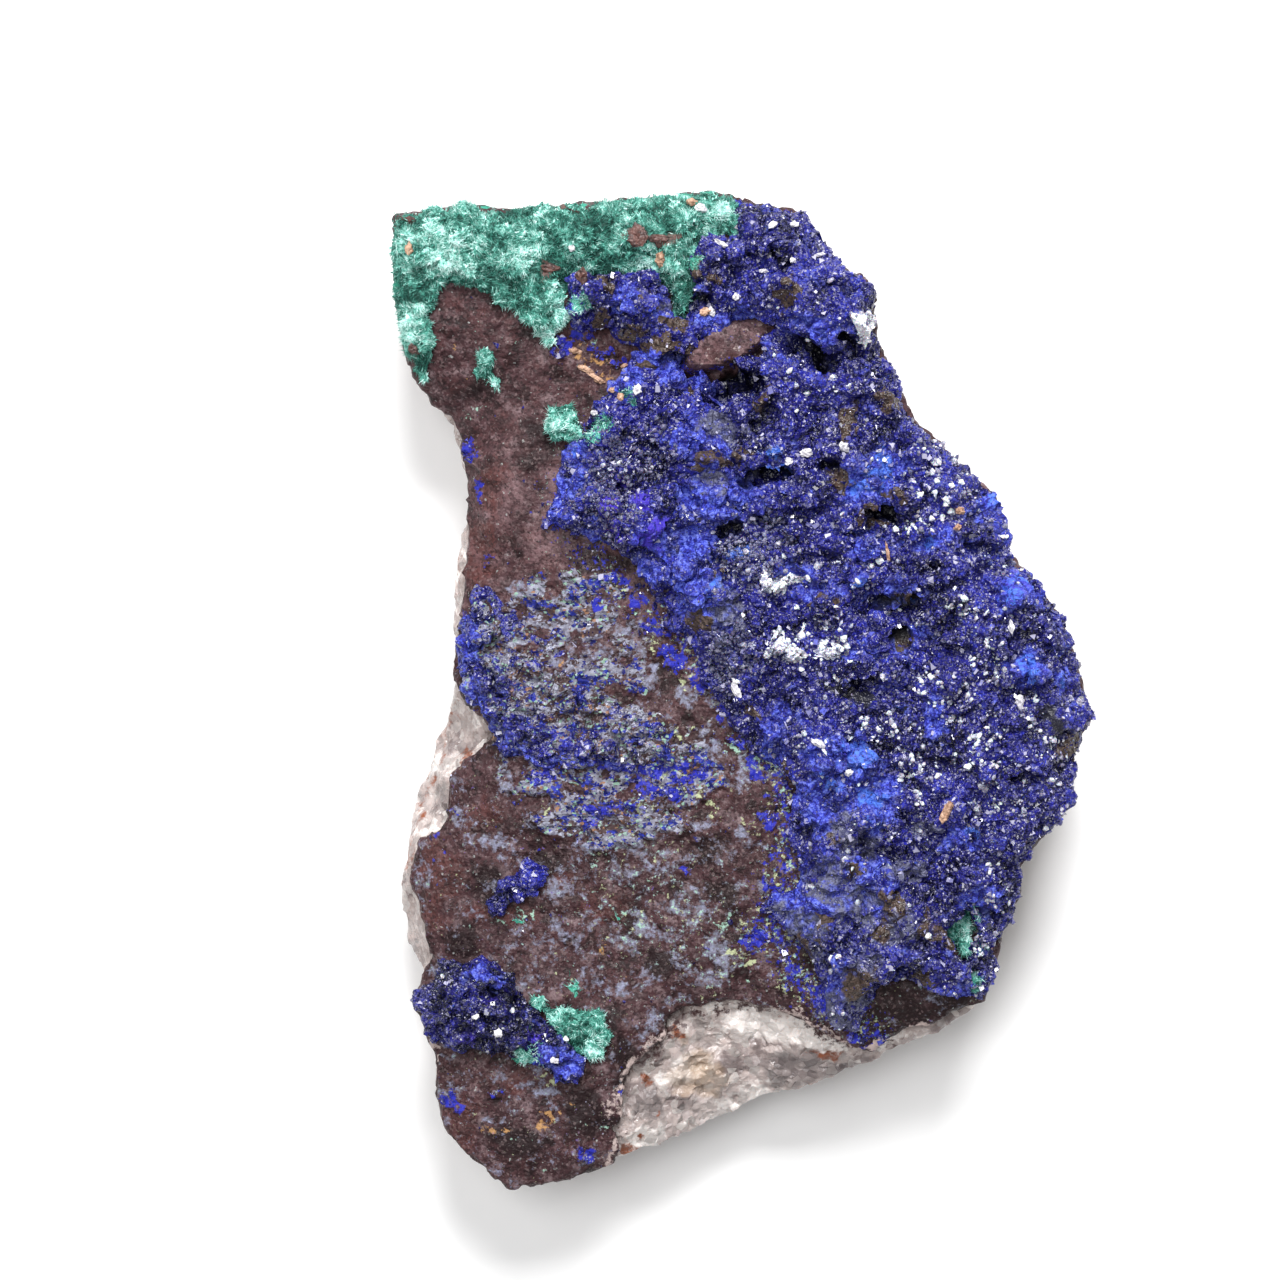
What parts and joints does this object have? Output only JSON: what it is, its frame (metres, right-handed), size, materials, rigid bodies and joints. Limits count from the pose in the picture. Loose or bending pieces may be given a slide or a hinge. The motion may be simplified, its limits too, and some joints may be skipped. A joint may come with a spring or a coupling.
{
  "type": "azurite specimen",
  "caption": "Hand-sized slab of vein quartz with a brown ironstone face, crusted with blue azurite crystals, green malachite and white calcite, lying on its back.",
  "frame": {"origin": "on the ground plane, under the middle of the specimen's outline", "axes": "+Z out of the crystal face, +Y along the slab towards the malachite end, +X towards the azurite side"},
  "size_m": [0.0751, 0.108, 0.026],
  "materials": {
    "quartz": "satin",
    "ironstone": "matte",
    "azurite": "satin",
    "malachite": "matte",
    "calcite": "satin"
  },
  "bodies": {
    "root": {"quartz_matrix": "quartz", "ironstone_layer": "ironstone", "azurite_crust": "azurite", "azurite_crust_left": "azurite", "azurite_crust_lower": "azurite", "azurite_spot": "azurite", "malachite_crust": "malachite", "malachite_spot_upper": "malachite", "malachite_spot_middle": "malachite", "malachite_spot_lower": "malachite", "malachite_spot_corner": "malachite", "calcite_tuft_top": "calcite", "calcite_tuft_middle": "calcite", "calcite_tuft_lower": "calcite"}
  },
  "joints": []
}
